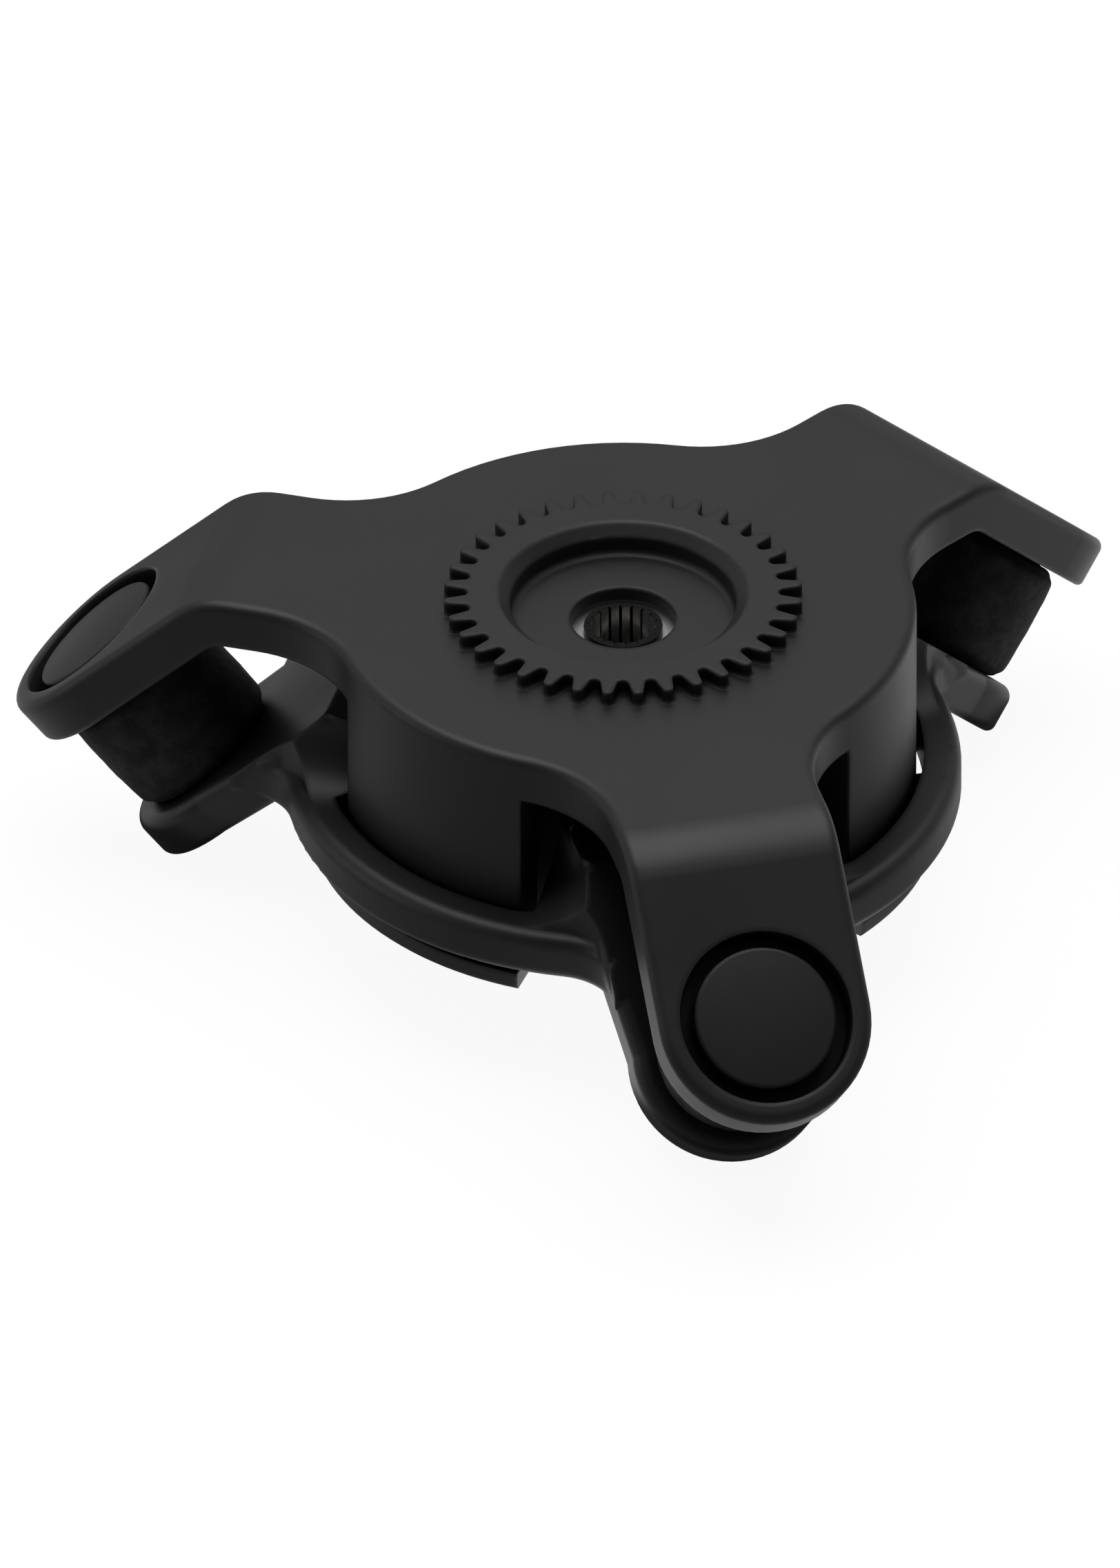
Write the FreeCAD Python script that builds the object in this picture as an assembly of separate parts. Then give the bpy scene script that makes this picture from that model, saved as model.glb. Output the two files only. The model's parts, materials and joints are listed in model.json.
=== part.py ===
import FreeCAD, Part
import math
import os
from FreeCAD import Vector

# Three-arm vibration damper for a handlebar device mount.
# Frame: +Z up, origin on the axis at the hub's lower seat.  The front arm points along -Y.
# Millimetres throughout.

# ---- driving dimensions --------------------------------------------------------------------
# spline ring on the plate
SPLINE_TOP = 18.6        # top of the spline ring above the lower seat
SPLINE_H = 0.95          # height of the spline ring above the plate
SPLINE_TEETH = 36
TOOTH_ROOT_R = 9.95      # bottom of the gap between two teeth
TOOTH_FLANK_LOW_R = 10.3  # where the rounded root meets the straight flank
TOOTH_FLANK_TOP_R = 11.25
TOOTH_TIP_R = 11.5
TOOTH_GAP_HALF = 0.40    # half width of the gap at the root
TOOTH_TIP_HALF = 0.32    # half width of a tooth near its tip

# upper chassis: plate, drum walls and bent arms
PLATE_T = 3.3            # thickness of plate and upper arms
DRUM_R = 18.8            # outer radius of plate disc and drum walls
DRUM_WALL_T = 3.0
WALL_HALF_ANGLE = 24.7   # each drum wall spans this much either side of its middle
WALL_BOTTOM = 2.05       # underside of the drum walls
ARM_HALF = 6.9           # half width of an upper arm, and its tip radius
ARM_SLOPE = 43.7         # degrees below horizontal
ARM_HOLE_R_PLAN = 35.4   # plan radius of the upper arm hole, at the arm's top face
ARM_HOLE_Z = 9.35        # height of that point
BEND_R = 5.2             # outer radius of the bend
CREASE_FILLET = 8.6      # concave plan fillet between disc and arm
TOP_FILLET = 0.65        # rounding of the upper chassis' upper outline edges
UNDER_FILLET = 0.4       # rounding of its lower outline edges
PILOT_R = 7.25           # recess that locates the head
PILOT_DEPTH = 2.03
PILOT_RIM_R = 8.05       # lead-in cone around the recess rim
PILOT_RIM_DEPTH = 0.75
PILOT_CORNER = 0.35      # fillet between the recess's wall and floor
PLATE_HOLE_R = 3.4
PLATE_WEB_T = 1.1        # metal left round the centre hole

# lower chassis: hub, ring, spokes and sloped arms
RING_IN_R = 19.3
RING_OUT_R = 21.7
RING_TOP = 6.3
RING_BOTTOM = 3.2
SLOT_HALF_ANGLE = 28.0   # each slot that a drum wall passes through, either side of its middle
HUB_R = 13.2
HUB_TOP = 10.6
HUB_POCKET_R = 6.0
HUB_WEB_TOP = 5.0
HUB_BORE_R = 2.55
SPOKE_HALF = 7.3         # half width of the spokes and of the lower arms at the ring
SPOKE_START = 8.0        # inner end of a spoke, inside the hub
ARM_GAP = 11.2           # upper arm's top face to lower arm's top face, along the arm normal
LOWER_T = 3.2
PAD_R = 6.5              # rounded end of a lower arm
PAD_TAPER = 7.5          # degrees that each side of a lower arm flares towards the ring
PAD_LENGTH = 18.0        # how far a lower arm runs back from its hole
WEB_FILLET = 4.0         # concave plan fillet between ring and lower arm
WEB_ARM_HALF = 7.0
WEB_ARM_END = 24.3       # the flat ring metal ends here, inside each sloped arm
LOWER_TOP_FILLET = 0.9
LOWER_UNDER_FILLET = 0.6
SPOKE_FILLET = 0.8
BOSS_R = 7.15            # boss below the hub, the same fit as the recess above
BOSS_DROP = 0.7
SOCKET_DEPTH = 1.3       # toothed socket in the hub's underside
SOCKET_GAP = 0.12

# caps, posts and rubber in the arms
CAP_R = 4.6
CAP_T = 1.2
CAP_ROUND = 0.25
CAP_CROWN = 0.2          # rise of the cap's gently domed top
CAP_HOLE_R = 5.6
CAP_HOLE_DEPTH = 2.3
WEB_HOLE_R = 3.9
POST_R = 2.2
POST_BORE_DEPTH = 6.0
GROMMET_R = 5.3
GROMMET_CHAMFER = 0.7
NECK_GAP = 0.1           # rubber neck to its hole
NECK_ROOM = 0.85         # room round the post in the neck
SOFT_GAP = 0.05          # gap left around a soft piece

# screws
M16_R = 0.8
M16_HEAD_R = 1.45
M16_HEX = 0.9            # across flats
M3_R = 1.5
M5_R = 2.5
THREAD_GAP = 0.02        # modelled gap around a plain screw shank
ARM_SCREW_HEAD_R = 2.8
ARM_SCREW_LENGTH = 8.0
ARM_SCREW_HEX = 2.0
HUB_SCREW_DROP = 4.8     # how far the screw's end stands below the seat
HUB_THREAD_TOP = -1.2    # the thread ends just below the hub
HUB_WAIST_R = 1.9        # reduced shank, so that the screw stays captive
HUB_SHOULDER_LOW = 3.0   # full diameter again, turning in the hub's bore
HUB_SCREW_TIP = 0.5      # chamfer on the screw's end
HUB_SCREW_HEX = 2.5      # its key passes through the tapped bush above
HUB_SCREW_HEX_DEPTH = 1.6
HUB_HEAD_ROUND = 1.8
WASHER_T = 1.0
WASHER_R = 5.0
WASHER_GAP = 0.1
BUTTON_R = 4.75
BUTTON_H = 2.75

# retaining lips under the drum walls
RETAINER_T = 1.3
RETAINER_OUT_R = 20.2
RETAINER_HALF_ANGLE = 25.4
RETAINER_CHAMFER = 0.25
RETAINER_SCREW_R = 17.2
RETAINER_SCREW_ANGLE = 14.0
RETAINER_SCREW_LENGTH = 5.0

# centre bush and its toothed insert
BUSH_BORE_R = 1.65       # tapping size of an M4 thread
BUSH_FLANGE_R = 9.6
BUSH_FLANGE_T = 1.4
BUSH_BARREL_R = 4.0
BUSH_BOTTOM = 10.6
BUSH_SCREW_PLAN_R = 8.3
BUSH_SCREW_ANGLES = (90, 210, 330)
BUSH_SCREW_LENGTH = 3.6
INSERT_R = 2.53
INSERT_PROUD = 0.55      # how far the insert stands above the bush's flange
INSERT_LENGTH = 3.4
INSERT_TEETH = 18
INSERT_LAND_R = 2.0      # tips of the insert's inner teeth
INSERT_GROOVE_R = 2.36

# ---- values worked out from them -----------------------------------------------------------
Z_AXIS = Vector(0, 0, 1)
Y_AXIS = Vector(0, 1, 0)
CENTRE = Vector(0, 0, 0)
PLATE_TOP = SPLINE_TOP - SPLINE_H
PLATE_BOTTOM = PLATE_TOP - PLATE_T
PILOT_FLOOR = SPLINE_TOP - PILOT_DEPTH
FLANGE_TOP = PILOT_FLOOR - PLATE_WEB_T
FLANGE_LOW = FLANGE_TOP - BUSH_FLANGE_T
INSERT_TOP = FLANGE_TOP + INSERT_PROUD
INSERT_LOW = INSERT_TOP - INSERT_LENGTH
FLARE_R = HUB_TOP - RING_TOP
SLOPE = math.radians(ARM_SLOPE)
NORMAL_X = math.sin(SLOPE)
NORMAL_Z = math.cos(SLOPE)
BEND_CORNER_X = ARM_HOLE_R_PLAN - (PLATE_TOP - ARM_HOLE_Z) / math.tan(SLOPE)
BEND_START_X = BEND_CORNER_X - BEND_R * math.tan(SLOPE / 2)
UPPER_ORIGIN = Vector(ARM_HOLE_R_PLAN, 0, ARM_HOLE_Z)
LOWER_ORIGIN = UPPER_ORIGIN - Vector(NORMAL_X, 0, NORMAL_Z) * ARM_GAP
SPLIT_X = 24.0           # the flat plate is joined to each bent arm here
ARM_ANGLES = {"front": -90.0, "right": 30.0, "left": 150.0}
WALL_ANGLES = {"back": 90.0, "front_left": 210.0, "front_right": -30.0}
HULL = 80.0              # larger than the part in every direction


# ---- small helpers -------------------------------------------------------------------------
def polar(radius, degrees, z=0.0):
    angle = math.radians(degrees)
    return Vector(radius * math.cos(angle), radius * math.sin(angle), z)


def cylinder(radius, low, high):
    return Part.makeCylinder(radius, high - low, Vector(0, 0, low))


def tube(inner, outer, low, high):
    return cylinder(outer, low, high).cut(cylinder(inner, low - 1, high + 1))


def block(x0, x1, half_y, z0, z1):
    return Part.makeBox(x1 - x0, 2 * half_y, z1 - z0, Vector(x0, -half_y, z0))


def line(a, b):
    return Part.makeLine(a, b)


def arc(a, middle, b):
    return Part.Arc(a, middle, b).toShape()


def extrude_outline(edges, low, high):
    face = Part.Face(Part.Wire(edges))
    solid = face.extrude(Vector(0, 0, high - low))
    solid.translate(Vector(0, 0, low))
    return solid


def turned(shape, degrees):
    copy = shape.copy()
    copy.rotate(CENTRE, Z_AXIS, degrees)
    return copy


def on_slope(shape, origin):
    """Local x runs down the arm, y across it and z out of its top face."""
    copy = shape.copy()
    copy.rotate(CENTRE, Y_AXIS, ARM_SLOPE)
    copy.translate(origin)
    return copy


def fuse_all(shapes):
    result = shapes[0]
    for shape in shapes[1:]:
        result = result.fuse(shape)
    return result.removeSplitter()


def sector(inner, outer, half_angle, low, high):
    """Part of a ring, centred on +X."""
    edges = [
        arc(polar(outer, -half_angle), polar(outer, 0), polar(outer, half_angle)),
        line(polar(outer, half_angle), polar(inner, half_angle)),
        arc(polar(inner, half_angle), polar(inner, 0), polar(inner, -half_angle)),
        line(polar(inner, -half_angle), polar(outer, -half_angle)),
    ]
    return extrude_outline(edges, low, high)


def hex_socket(across_flats, low, high):
    corner = across_flats / math.sqrt(3)
    points = [polar(corner, 60 * i) for i in range(7)]
    return extrude_outline([line(points[i], points[i + 1]) for i in range(6)], low, high)


def face_normal(face, point):
    u, v = face.Surface.parameter(point)
    return face.normalAt(u, v)


def sharp_edges(shape, wanted):
    """Edges between two faces that meet at more than 60 degrees, picked by wanted(point, n1, n2)."""
    picked = []
    for edge in shape.Edges:
        faces = shape.ancestorsOfType(edge, Part.Face)
        if len(faces) != 2:
            continue
        middle = edge.valueAt((edge.FirstParameter + edge.LastParameter) / 2)
        n1 = face_normal(faces[0], middle)
        n2 = face_normal(faces[1], middle)
        if n1.dot(n2) < 0.5 and wanted(middle, n1, n2):
            picked.append(edge)
    return picked


def is_top(point, n1, n2):
    return max(n1.z, n2.z) > 0.71


def is_bottom(point, n1, n2):
    return min(n1.z, n2.z) < -0.71


def star_outline(disc_r, arm_half, fillet, arm_end):
    """Plan outline of a disc with three arms and concave fillets between them."""
    centre_r = disc_r + fillet
    side = arm_half + fillet
    away = math.degrees(math.asin(side / centre_r))
    along = centre_r * math.cos(math.radians(away))
    edges = []
    for base in sorted(ARM_ANGLES.values()):
        def local(x, y):
            return polar(math.hypot(x, y), base + math.degrees(math.atan2(y, x)))

        touch = Vector(along * disc_r / centre_r, side * disc_r / centre_r, 0)
        bisector = (touch + Vector(along, arm_half, 0)) * 0.5 - Vector(along, side, 0)
        bisector.normalize()
        mid = Vector(along, side, 0) + bisector * fillet
        edges.append(arc(local(touch.x, -touch.y), local(mid.x, -mid.y), local(along, -arm_half)))
        edges.append(line(local(along, -arm_half), local(arm_end, -arm_half)))
        edges.append(line(local(arm_end, -arm_half), local(arm_end, arm_half)))
        edges.append(line(local(arm_end, arm_half), local(along, arm_half)))
        edges.append(arc(local(along, arm_half), local(mid.x, mid.y), local(touch.x, touch.y)))
        start = base + away
        end = base + 120 - away
        edges.append(arc(polar(disc_r, start), polar(disc_r, (start + end) / 2), polar(disc_r, end)))
    return edges


def spline_outline(grow):
    """Toothed outline; grow enlarges it, for the matching socket."""
    pitch = 360.0 / SPLINE_TEETH
    low_r = TOOTH_FLANK_LOW_R + grow
    top_r = TOOTH_FLANK_TOP_R + grow
    gap_half = TOOTH_GAP_HALF - grow
    tip_half = TOOTH_TIP_HALF + grow
    low_angle = pitch / 2 - math.degrees(math.asin(gap_half / low_r))
    top_angle = math.degrees(math.asin(tip_half / top_r))
    edges = []
    for i in range(SPLINE_TEETH):
        mid = i * pitch
        after = mid + pitch
        p0 = polar(low_r, mid - low_angle)
        p1 = polar(top_r, mid - top_angle)
        p2 = polar(top_r, mid + top_angle)
        p3 = polar(low_r, mid + low_angle)
        edges.append(line(p0, p1))
        edges.append(arc(p1, polar(TOOTH_TIP_R + grow, mid), p2))
        edges.append(line(p2, p3))
        edges.append(arc(p3, polar(TOOTH_ROOT_R + grow, mid + pitch / 2), polar(low_r, after - low_angle)))
    return edges


# ---- upper chassis -------------------------------------------------------------------------
def bent_arm():
    """One sloped arm with its bend, along +X, with a square end."""
    inner_r = BEND_R - PLATE_T
    bend_centre = Vector(BEND_START_X, 0, PLATE_TOP - BEND_R)

    def on_bend(radius, degrees_from_vertical):
        angle = math.radians(degrees_from_vertical)
        return bend_centre + Vector(radius * math.sin(angle), 0, radius * math.cos(angle))

    down = Vector(NORMAL_Z, 0, -NORMAL_X)
    normal = Vector(NORMAL_X, 0, NORMAL_Z)
    end_top = UPPER_ORIGIN + down * (ARM_HALF + 3)
    end_bottom = end_top - normal * PLATE_T
    top_start = Vector(SPLIT_X, 0, PLATE_TOP)
    bottom_start = Vector(SPLIT_X, 0, PLATE_BOTTOM)
    edges = [
        line(top_start, on_bend(BEND_R, 0)),
        arc(on_bend(BEND_R, 0), on_bend(BEND_R, ARM_SLOPE / 2), on_bend(BEND_R, ARM_SLOPE)),
        line(on_bend(BEND_R, ARM_SLOPE), end_top),
        line(end_top, end_bottom),
        line(end_bottom, on_bend(inner_r, ARM_SLOPE)),
        arc(on_bend(inner_r, ARM_SLOPE), on_bend(inner_r, ARM_SLOPE / 2), on_bend(inner_r, 0)),
        line(on_bend(inner_r, 0), bottom_start),
        line(bottom_start, top_start),
    ]
    face = Part.Face(Part.Wire(edges))
    face.translate(Vector(0, -ARM_HALF, 0))
    arm = face.extrude(Vector(0, 2 * ARM_HALF, 0))
    beyond = block(0, HULL, HULL, -20, 10).cut(cylinder(ARM_HALF, -21, 11))
    return arm.cut(on_slope(beyond, UPPER_ORIGIN))


def make_upper_chassis():
    plate = extrude_outline(
        star_outline(DRUM_R, ARM_HALF, CREASE_FILLET, SPLIT_X), PLATE_BOTTOM, PLATE_TOP)
    arm = bent_arm()
    body = fuse_all([plate] + [turned(arm, a) for a in ARM_ANGLES.values()])
    body = body.makeFillet(TOP_FILLET, sharp_edges(body, is_top))
    body = body.makeFillet(UNDER_FILLET, sharp_edges(body, is_bottom))

    wall = sector(DRUM_R - DRUM_WALL_T, DRUM_R, WALL_HALF_ANGLE, WALL_BOTTOM, PLATE_TOP - 1)
    for y in (-1, 1):
        pilot = Part.makeCylinder(M16_R + THREAD_GAP, RETAINER_SCREW_LENGTH)
        pilot.translate(polar(RETAINER_SCREW_R, y * RETAINER_SCREW_ANGLE, WALL_BOTTOM - 0.5))
        wall = wall.cut(pilot)
    teeth = extrude_outline(spline_outline(0), PLATE_TOP - 0.5, SPLINE_TOP)
    body = fuse_all([body] + [turned(wall, a) for a in WALL_ANGLES.values()] + [teeth])

    recess = cylinder(PILOT_R, PILOT_FLOOR, HULL)
    corner = [e for e in recess.Edges if e.Closed and e.CenterOfMass.z < PILOT_FLOOR + 1]
    body = body.cut(recess.makeFillet(PILOT_CORNER, corner))
    rim_low = Vector(0, 0, SPLINE_TOP - PILOT_RIM_DEPTH)
    body = body.cut(Part.makeCone(PILOT_R, PILOT_RIM_R, PILOT_RIM_DEPTH, rim_low))
    body = body.cut(cylinder(PLATE_HOLE_R, PLATE_BOTTOM - 1, HULL))
    body = body.cut(cylinder(BUSH_FLANGE_R + THREAD_GAP, PLATE_BOTTOM - 1, FLANGE_TOP))
    for angle in BUSH_SCREW_ANGLES:
        hole = Part.makeCylinder(M16_R + THREAD_GAP, BUSH_SCREW_LENGTH - BUSH_FLANGE_T + 0.3)
        hole.translate(polar(BUSH_SCREW_PLAN_R, angle, FLANGE_TOP - 0.1))
        body = body.cut(hole)
    for angle in ARM_ANGLES.values():
        cup = cylinder(CAP_HOLE_R, -CAP_HOLE_DEPTH, 10)
        cup = cup.fuse(cylinder(WEB_HOLE_R, -PLATE_T - 5, 0))
        body = body.cut(turned(on_slope(cup, UPPER_ORIGIN), angle))
    return body.removeSplitter()


# ---- screws ----------------------------------------------------------------------------------
def countersunk_screw(radius, head_r, length, across_flats):
    """Head face at z = 0, shank along -Z.  The head's cone is 90 degrees."""
    cone_h = head_r - radius
    shank = Part.makeCylinder(radius, length, Vector(0, 0, -length))
    cone = Part.makeCone(radius, head_r, cone_h, Vector(0, 0, -cone_h))
    return shank.fuse(cone).removeSplitter().cut(hex_socket(across_flats, -cone_h, 1))


def countersunk_hole(radius, head_r, depth):
    gap = THREAD_GAP
    cone_h = head_r - radius
    hole = Part.makeCylinder(radius + gap, depth + 1, Vector(0, 0, -depth - 1))
    cone = Part.makeCone(radius + gap, head_r + gap, cone_h, Vector(0, 0, -cone_h))
    return hole.fuse(cone).fuse(Part.makeCylinder(head_r + gap, 1.0))


def upside_down(shape, x, y, z):
    """Turn a screw so that its head faces down, with the head face at (x, y, z)."""
    copy = shape.copy()
    copy.rotate(CENTRE, Vector(1, 0, 0), 180)
    copy.translate(Vector(x, y, z))
    return copy


# ---- centre bush and insert ------------------------------------------------------------------
def make_centre_bush():
    flange = cylinder(BUSH_FLANGE_R, FLANGE_LOW, FLANGE_TOP)
    barrel = cylinder(BUSH_BARREL_R, BUSH_BOTTOM, FLANGE_LOW)
    bush = fuse_all([flange, barrel])
    bush = bush.cut(cylinder(BUSH_BORE_R, BUSH_BOTTOM - 1, HULL))
    bush = bush.cut(cylinder(INSERT_R + THREAD_GAP, INSERT_LOW, HULL))
    for angle in BUSH_SCREW_ANGLES:
        at = polar(BUSH_SCREW_PLAN_R, angle)
        hole = countersunk_hole(M16_R, M16_HEAD_R, BUSH_SCREW_LENGTH)
        bush = bush.cut(upside_down(hole, at.x, at.y, FLANGE_LOW))
    return bush


def make_toothed_insert():
    """Steel ring with inner teeth, pressed into the bush."""
    ring = tube(INSERT_LAND_R, INSERT_R, INSERT_LOW, INSERT_TOP)
    pitch = 360.0 / INSERT_TEETH
    land = 0.2 * pitch
    for i in range(INSERT_TEETH):
        left = polar(INSERT_LAND_R - 0.1, i * pitch - land)
        right = polar(INSERT_LAND_R - 0.1, i * pitch + land)
        deep = polar(INSERT_GROOVE_R, i * pitch)
        groove = [line(left, right), line(right, deep), line(deep, left)]
        ring = ring.cut(extrude_outline(groove, INSERT_LOW - 1, INSERT_TOP + 1))
    return ring


def make_bush_screws():
    screw = countersunk_screw(M16_R, M16_HEAD_R, BUSH_SCREW_LENGTH, M16_HEX)
    placed = []
    for angle in BUSH_SCREW_ANGLES:
        at = polar(BUSH_SCREW_PLAN_R, angle)
        placed.append(upside_down(screw, at.x, at.y, FLANGE_LOW))
    return Part.makeCompound(placed)


# ---- retaining lips under the drum walls ------------------------------------------------------
def make_retainer(angle):
    low = WALL_BOTTOM - RETAINER_T
    lip = sector(DRUM_R - DRUM_WALL_T, RETAINER_OUT_R, RETAINER_HALF_ANGLE, low, WALL_BOTTOM)
    outer = [e for e in lip.Edges if abs(e.CenterOfMass.z - low) < 0.01 and e.Length > 17]
    lip = lip.makeChamfer(RETAINER_CHAMFER, outer)
    for side in (-1, 1):
        at = polar(RETAINER_SCREW_R, side * RETAINER_SCREW_ANGLE)
        hole = countersunk_hole(M16_R, M16_HEAD_R, RETAINER_SCREW_LENGTH)
        lip = lip.cut(upside_down(hole, at.x, at.y, low))
    return turned(lip, angle)


def make_retainer_screws(angle):
    low = WALL_BOTTOM - RETAINER_T
    screw = countersunk_screw(M16_R, M16_HEAD_R, RETAINER_SCREW_LENGTH, M16_HEX)
    pair = []
    for side in (-1, 1):
        at = polar(RETAINER_SCREW_R, side * RETAINER_SCREW_ANGLE)
        pair.append(upside_down(screw, at.x, at.y, low))
    return turned(Part.makeCompound(pair), angle)


# ---- lower chassis ---------------------------------------------------------------------------
def lower_pad():
    """Sloped lower arm in its own plane: round end, flaring sides, and a long inner end."""
    taper = math.radians(PAD_TAPER)
    touch = Vector(-PAD_R * math.sin(taper), PAD_R * math.cos(taper), 0)
    shoulder = Vector(touch.x - (SPOKE_HALF - touch.y) / math.tan(taper), SPOKE_HALF, 0)
    def flip(p):
        return Vector(p.x, -p.y, 0)

    inner = Vector(-PAD_LENGTH, SPOKE_HALF, 0)
    edges = [
        arc(flip(touch), Vector(PAD_R, 0, 0), touch),
        line(touch, shoulder),
        line(shoulder, inner),
        line(inner, flip(inner)),
        line(flip(inner), flip(shoulder)),
        line(flip(shoulder), flip(touch)),
    ]
    pad = extrude_outline(edges, -LOWER_T, 0)
    pad = pad.makeFillet(LOWER_TOP_FILLET, sharp_edges(pad, is_top))
    pad = pad.makeFillet(LOWER_UNDER_FILLET, sharp_edges(pad, is_bottom))
    hole = upside_down(countersunk_hole(M3_R, ARM_SCREW_HEAD_R, 6), 0, 0, -LOWER_T)
    pad = on_slope(pad.cut(hole), LOWER_ORIGIN)
    return pad.common(block(12, HULL, HULL, -HULL, HUB_TOP))


def below_ramp():
    """Everything under the plane of a lower arm's top face."""
    return on_slope(block(-HULL, HULL, HULL, -HULL, 0), LOWER_ORIGIN)


def make_spoke():
    """Spoke along +X with flat top and concave flanks that run out on the ring."""
    wide = SPOKE_HALF + FLARE_R
    dip = FLARE_R * (1 - math.sqrt(0.5))
    low = RING_TOP - 0.1

    def at(y, z):
        return Vector(SPOKE_START, y, z)

    edges = [
        line(at(-wide, low), at(wide, low)),
        line(at(wide, low), at(wide, RING_TOP)),
        arc(at(wide, RING_TOP), at(SPOKE_HALF + dip, RING_TOP + dip), at(SPOKE_HALF, HUB_TOP)),
        line(at(SPOKE_HALF, HUB_TOP), at(-SPOKE_HALF, HUB_TOP)),
        arc(at(-SPOKE_HALF, HUB_TOP), at(-SPOKE_HALF - dip, RING_TOP + dip), at(-wide, RING_TOP)),
        line(at(-wide, RING_TOP), at(-wide, low)),
    ]
    spoke = Part.Face(Part.Wire(edges)).extrude(Vector(RING_OUT_R + 4 - SPOKE_START, 0, 0))
    spoke = spoke.common(below_ramp())
    spoke = spoke.makeFillet(SPOKE_FILLET, sharp_edges(spoke, is_flank))
    plan = star_outline(RING_OUT_R - LOWER_TOP_FILLET, WEB_ARM_HALF, WEB_FILLET, WEB_ARM_END)
    inside = extrude_outline(plan, 0, HUB_TOP + 1)
    return spoke.common(turned(inside, -ARM_ANGLES["right"]))


def is_flank(point, n1, n2):
    return point.z > RING_TOP + 1.5 and abs(point.y) > SPOKE_HALF - 0.1 and point.x > SPOKE_START + 0.1


def make_lower_chassis():
    web = extrude_outline(
        star_outline(RING_OUT_R, WEB_ARM_HALF, WEB_FILLET, WEB_ARM_END), RING_BOTTOM, RING_TOP)
    web = web.makeFillet(LOWER_TOP_FILLET, sharp_edges(web, is_top))
    web = web.makeFillet(LOWER_UNDER_FILLET, sharp_edges(web, is_bottom))
    above = on_slope(block(-HULL, HULL, HULL, 0, HULL), LOWER_ORIGIN)
    above = above.common(block(RING_IN_R, HULL, SPOKE_HALF * 2, -HULL, HULL))
    for angle in ARM_ANGLES.values():
        web = web.cut(turned(above, angle))
    spoke = make_spoke()
    web = fuse_all([web] + [turned(spoke, a) for a in ARM_ANGLES.values()])
    slot = sector(0.5, RING_IN_R, SLOT_HALF_ANGLE, -HULL, HULL)
    for angle in WALL_ANGLES.values():
        web = web.cut(turned(slot, angle))

    hub = cylinder(HUB_R, 0, HUB_TOP)
    rim = [e for e in hub.Edges if e.Closed and e.CenterOfMass.z > 1]
    hub = hub.makeFillet(LOWER_UNDER_FILLET, rim)
    hub = hub.cut(extrude_outline(spline_outline(SOCKET_GAP), -1, SOCKET_DEPTH))
    hub = hub.fuse(cylinder(BOSS_R, -BOSS_DROP, SOCKET_DEPTH + 1))
    pieces = [hub, web]
    pad = lower_pad()
    for angle in ARM_ANGLES.values():
        pieces.append(turned(pad, angle))
    body = fuse_all(pieces)
    body = body.cut(cylinder(HUB_POCKET_R, HUB_WEB_TOP, HULL))
    return body.cut(cylinder(HUB_BORE_R, -HULL, HULL))


# ---- captive hub screw -----------------------------------------------------------------------
def make_hub_washer():
    return tube(M5_R + WASHER_GAP, WASHER_R, HUB_WEB_TOP, HUB_WEB_TOP + WASHER_T)


def make_hub_screw():
    seat = HUB_WEB_TOP + WASHER_T + THREAD_GAP
    thread = cylinder(M5_R, -HUB_SCREW_DROP, HUB_THREAD_TOP)
    tip = [e for e in thread.Edges if e.Closed and e.CenterOfMass.z < HUB_THREAD_TOP - 1]
    thread = thread.makeChamfer(HUB_SCREW_TIP, tip)
    waist = cylinder(HUB_WAIST_R, HUB_THREAD_TOP, HUB_SHOULDER_LOW)
    shoulder = cylinder(M5_R, HUB_SHOULDER_LOW, seat)
    head = cylinder(BUTTON_R, seat, seat + BUTTON_H)
    rim = [e for e in head.Edges if e.Closed and e.CenterOfMass.z > seat + 1]
    head = head.makeFillet(HUB_HEAD_ROUND, rim)
    screw = fuse_all([thread, waist, shoulder, head])
    return screw.cut(hex_socket(HUB_SCREW_HEX, seat + BUTTON_H - HUB_SCREW_HEX_DEPTH, HULL))


# ---- arm hardware and rubber -----------------------------------------------------------------
def place_on_arm(shape, angle):
    return turned(on_slope(shape, UPPER_ORIGIN), angle)


def make_cap_post(angle):
    """Round cap that shows in the arm's hole, with a tapped post down to the lower arm."""
    crown_r = (CAP_R ** 2 + CAP_CROWN ** 2) / (2 * CAP_CROWN)
    crown = Part.makeSphere(crown_r, Vector(0, 0, -crown_r))
    cap = cylinder(CAP_R, -CAP_T, 0).common(crown)
    rim = [e for e in cap.Edges if e.Closed and e.CenterOfMass.z > -CAP_T / 2]
    cap = cap.makeFillet(CAP_ROUND, rim)
    post = cylinder(POST_R, -ARM_GAP, -CAP_T)
    whole = cap.fuse(post).removeSplitter()
    whole = whole.cut(cylinder(M3_R + THREAD_GAP, -ARM_GAP - 1, -ARM_GAP + POST_BORE_DEPTH))
    return place_on_arm(whole, angle)


def make_arm_screw(angle):
    screw = countersunk_screw(M3_R, ARM_SCREW_HEAD_R, ARM_SCREW_LENGTH, ARM_SCREW_HEX)
    screw = upside_down(screw, 0, 0, -ARM_GAP - LOWER_T)
    return place_on_arm(screw, angle)


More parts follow.
